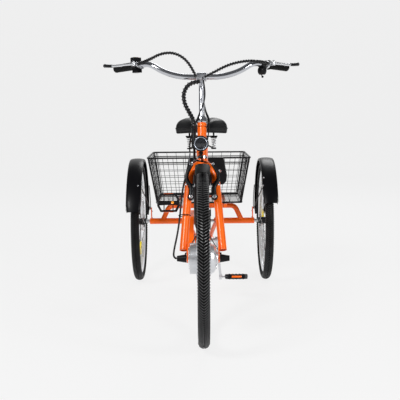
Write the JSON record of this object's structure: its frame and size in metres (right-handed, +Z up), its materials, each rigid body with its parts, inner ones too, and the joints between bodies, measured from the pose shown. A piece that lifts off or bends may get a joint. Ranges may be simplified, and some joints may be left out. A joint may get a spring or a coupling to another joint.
{
  "type": "adult electric tricycle",
  "caption": "Step-through adult tricycle with a front hub motor, a wire cargo basket between the rear wheels, a sprung saddle and a swept handlebar.",
  "frame": {"origin": "on the ground midway between the ends and the sides of the tricycle", "axes": "+Z up, the rider faces -Y, +X is the rider's left"},
  "size_m": [0.7916, 1.7438, 1.0825],
  "materials": {
    "orange_paint": "gloss",
    "chrome": "polished",
    "black_plastic": "satin",
    "black_fender": "gloss",
    "black_metal": "satin",
    "grip_rubber": "matte",
    "cable_sheath": "satin",
    "tyre_rubber": "matte",
    "spoke_steel": "satin",
    "silver_alloy": "satin",
    "lamp_lens": "clear",
    "button_red": "gloss",
    "saddle_vinyl": "satin"
  },
  "bodies": {
    "frame": {"main_frame": "orange_paint", "rear_frame": "orange_paint", "headset_cups": "chrome", "frame_bearings": "spoke_steel", "seat_clamp": "black_metal", "battery_case": "black_plastic", "chain_guard": "orange_paint", "chain": "spoke_steel", "rear_brake_band": "black_metal", "left_rear_fender": "black_fender", "right_rear_fender": "black_fender", "rear_basket": "black_metal", "frame_cables": "cable_sheath"},
    "seat": {"seat_post": "chrome", "saddle_rails": "black_metal", "saddle_springs": "spoke_steel", "saddle_cover": "saddle_vinyl"},
    "steering": {"fork": "orange_paint", "stem": "chrome", "handlebar": "chrome", "left_grip": "grip_rubber", "headset_nut": "chrome", "front_fender": "black_fender", "headlight_bracket": "black_metal", "brake_lever_brackets": "silver_alloy", "throttle_housing": "black_plastic", "shifter_pod": "black_plastic", "front_axle": "spoke_steel", "axle_covers": "black_plastic", "bar_cables": "cable_sheath", "steering_loom": "cable_sheath"},
    "headlight": {"headlight_housing": "black_plastic", "headlight_lens": "lamp_lens"},
    "left_lever": {"left_brake_lever": "silver_alloy"},
    "right_lever": {"right_brake_lever": "silver_alloy"},
    "throttle": {"throttle_grip": "grip_rubber"},
    "shifter": {"shifter_lever": "black_plastic"},
    "button": {"power_button": "button_red"},
    "left_brake": {"left_brake_arm": "black_metal"},
    "right_brake": {"right_brake_arm": "black_metal"},
    "front_wheel": {"front_tyre": "tyre_rubber", "front_rim": "silver_alloy", "front_spokes": "spoke_steel", "hub_motor": "silver_alloy"},
    "left_wheel": {"left_rear_tyre": "tyre_rubber", "left_rear_rim": "silver_alloy", "left_rear_spokes": "spoke_steel", "left_rear_hub": "black_metal"},
    "right_wheel": {"right_rear_tyre": "tyre_rubber", "right_rear_rim": "silver_alloy", "right_rear_spokes": "spoke_steel", "right_rear_hub": "black_metal", "rear_axle": "spoke_steel"},
    "crank": {"crank_arms": "silver_alloy", "chainring": "spoke_steel"},
    "left_pedal_body": {"left_pedal": "black_plastic"},
    "right_pedal_body": {"right_pedal": "black_plastic"},
    "sprocket": {"rear_sprocket": "spoke_steel"}
  },
  "joints": [
    {"name": "steering", "type": "hinge", "parent": "frame", "child": "steering", "pos_m": [0, -0.36421, 0.68278], "axis": [0, 0.342, 0.9397], "range_deg": [-45, 45], "deforming": ["steering_loom"]},
    {"name": "front_wheel_spin", "type": "hinge", "parent": "steering", "child": "front_wheel", "pos_m": [0, -0.548, 0.324], "axis": [1, 0, 0], "continuous": true},
    {"name": "left_wheel_spin", "type": "hinge", "parent": "frame", "child": "left_wheel", "pos_m": [0.319, 0.552, 0.2985], "axis": [1, 0, 0], "continuous": true},
    {"name": "right_wheel_spin", "type": "hinge", "parent": "frame", "child": "right_wheel", "pos_m": [-0.319, 0.552, 0.2985], "axis": [1, 0, 0], "continuous": true},
    {"name": "crank_spin", "type": "hinge", "parent": "frame", "child": "crank", "pos_m": [0, 0.072, 0.283], "axis": [1, 0, 0], "continuous": true},
    {"name": "sprocket_spin", "type": "hinge", "parent": "frame", "child": "sprocket", "pos_m": [-0.05, 0.552, 0.2985], "axis": [1, 0, 0], "continuous": true},
    {"name": "left_pedal_spin", "type": "hinge", "parent": "crank", "child": "left_pedal_body", "pos_m": [0.15, 0.072, 0.115], "axis": [1, 0, 0], "continuous": true},
    {"name": "right_pedal_spin", "type": "hinge", "parent": "crank", "child": "right_pedal_body", "pos_m": [-0.15, 0.072, 0.451], "axis": [1, 0, 0], "continuous": true},
    {"name": "seat_height", "type": "slide", "parent": "frame", "child": "seat", "axis": [0, 0.3421, 0.9397], "range_m": [-0.02, 0.08]},
    {"name": "left_brake_lever_pull", "type": "hinge", "parent": "steering", "child": "left_lever", "pos_m": [0.28197, -0.25836, 1.03907], "axis": [0.0317, 0.0343, 0.9989], "range_deg": [0, 12], "stiffness_Nm_per_rad": 2, "springref_deg": -5.73},
    {"name": "right_brake_lever_pull", "type": "hinge", "parent": "steering", "child": "right_lever", "pos_m": [-0.26435, -0.27744, 1.04029], "axis": [0.0317, -0.0343, -0.9989], "range_deg": [0, 10], "stiffness_Nm_per_rad": 2, "springref_deg": -5.73},
    {"name": "left_brake_arm_close", "type": "hinge", "parent": "steering", "child": "left_brake", "pos_m": [0.044, -0.45925, 0.53859], "axis": [0, -0.9397, 0.342], "range_deg": [0, 2.05]},
    {"name": "right_brake_arm_close", "type": "hinge", "parent": "steering", "child": "right_brake", "pos_m": [-0.044, -0.45925, 0.53859], "axis": [0, 0.9397, -0.342], "range_deg": [0, 2.05]},
    {"name": "throttle_twist", "type": "hinge", "parent": "steering", "child": "throttle", "pos_m": [-0.30434, -0.18403, 1.0328], "axis": [-0.6777, 0.7338, -0.0467], "range_deg": [0, 60], "stiffness_Nm_per_rad": 0.3, "springref_deg": -11.46},
    {"name": "shifter_swing", "type": "hinge", "parent": "steering", "child": "shifter", "pos_m": [0.22901, -0.24937, 1.01141], "axis": [0.7346, -0.6785, 0], "range_deg": [-20, 30]},
    {"name": "power_button_press", "type": "slide", "parent": "steering", "child": "button", "axis": [0.0317, -0.0343, -0.9989], "range_m": [0, 0.0012], "stiffness_N_per_m": 400, "springref_m": -0.001},
    {"name": "headlight_tilt", "type": "hinge", "parent": "steering", "child": "headlight", "pos_m": [-0.005, -0.436, 0.702], "axis": [1, 0, 0], "range_deg": [-12, 15]}
  ],
  "couplings": [
    {"joint": "sprocket_spin", "follows": "crank_spin", "ratio": 2.4444},
    {"joint": "left_brake_arm_close", "follows": "left_brake_lever_pull", "ratio": 0.17083},
    {"joint": "right_brake_arm_close", "follows": "left_brake_lever_pull", "ratio": 0.17083}
  ]
}
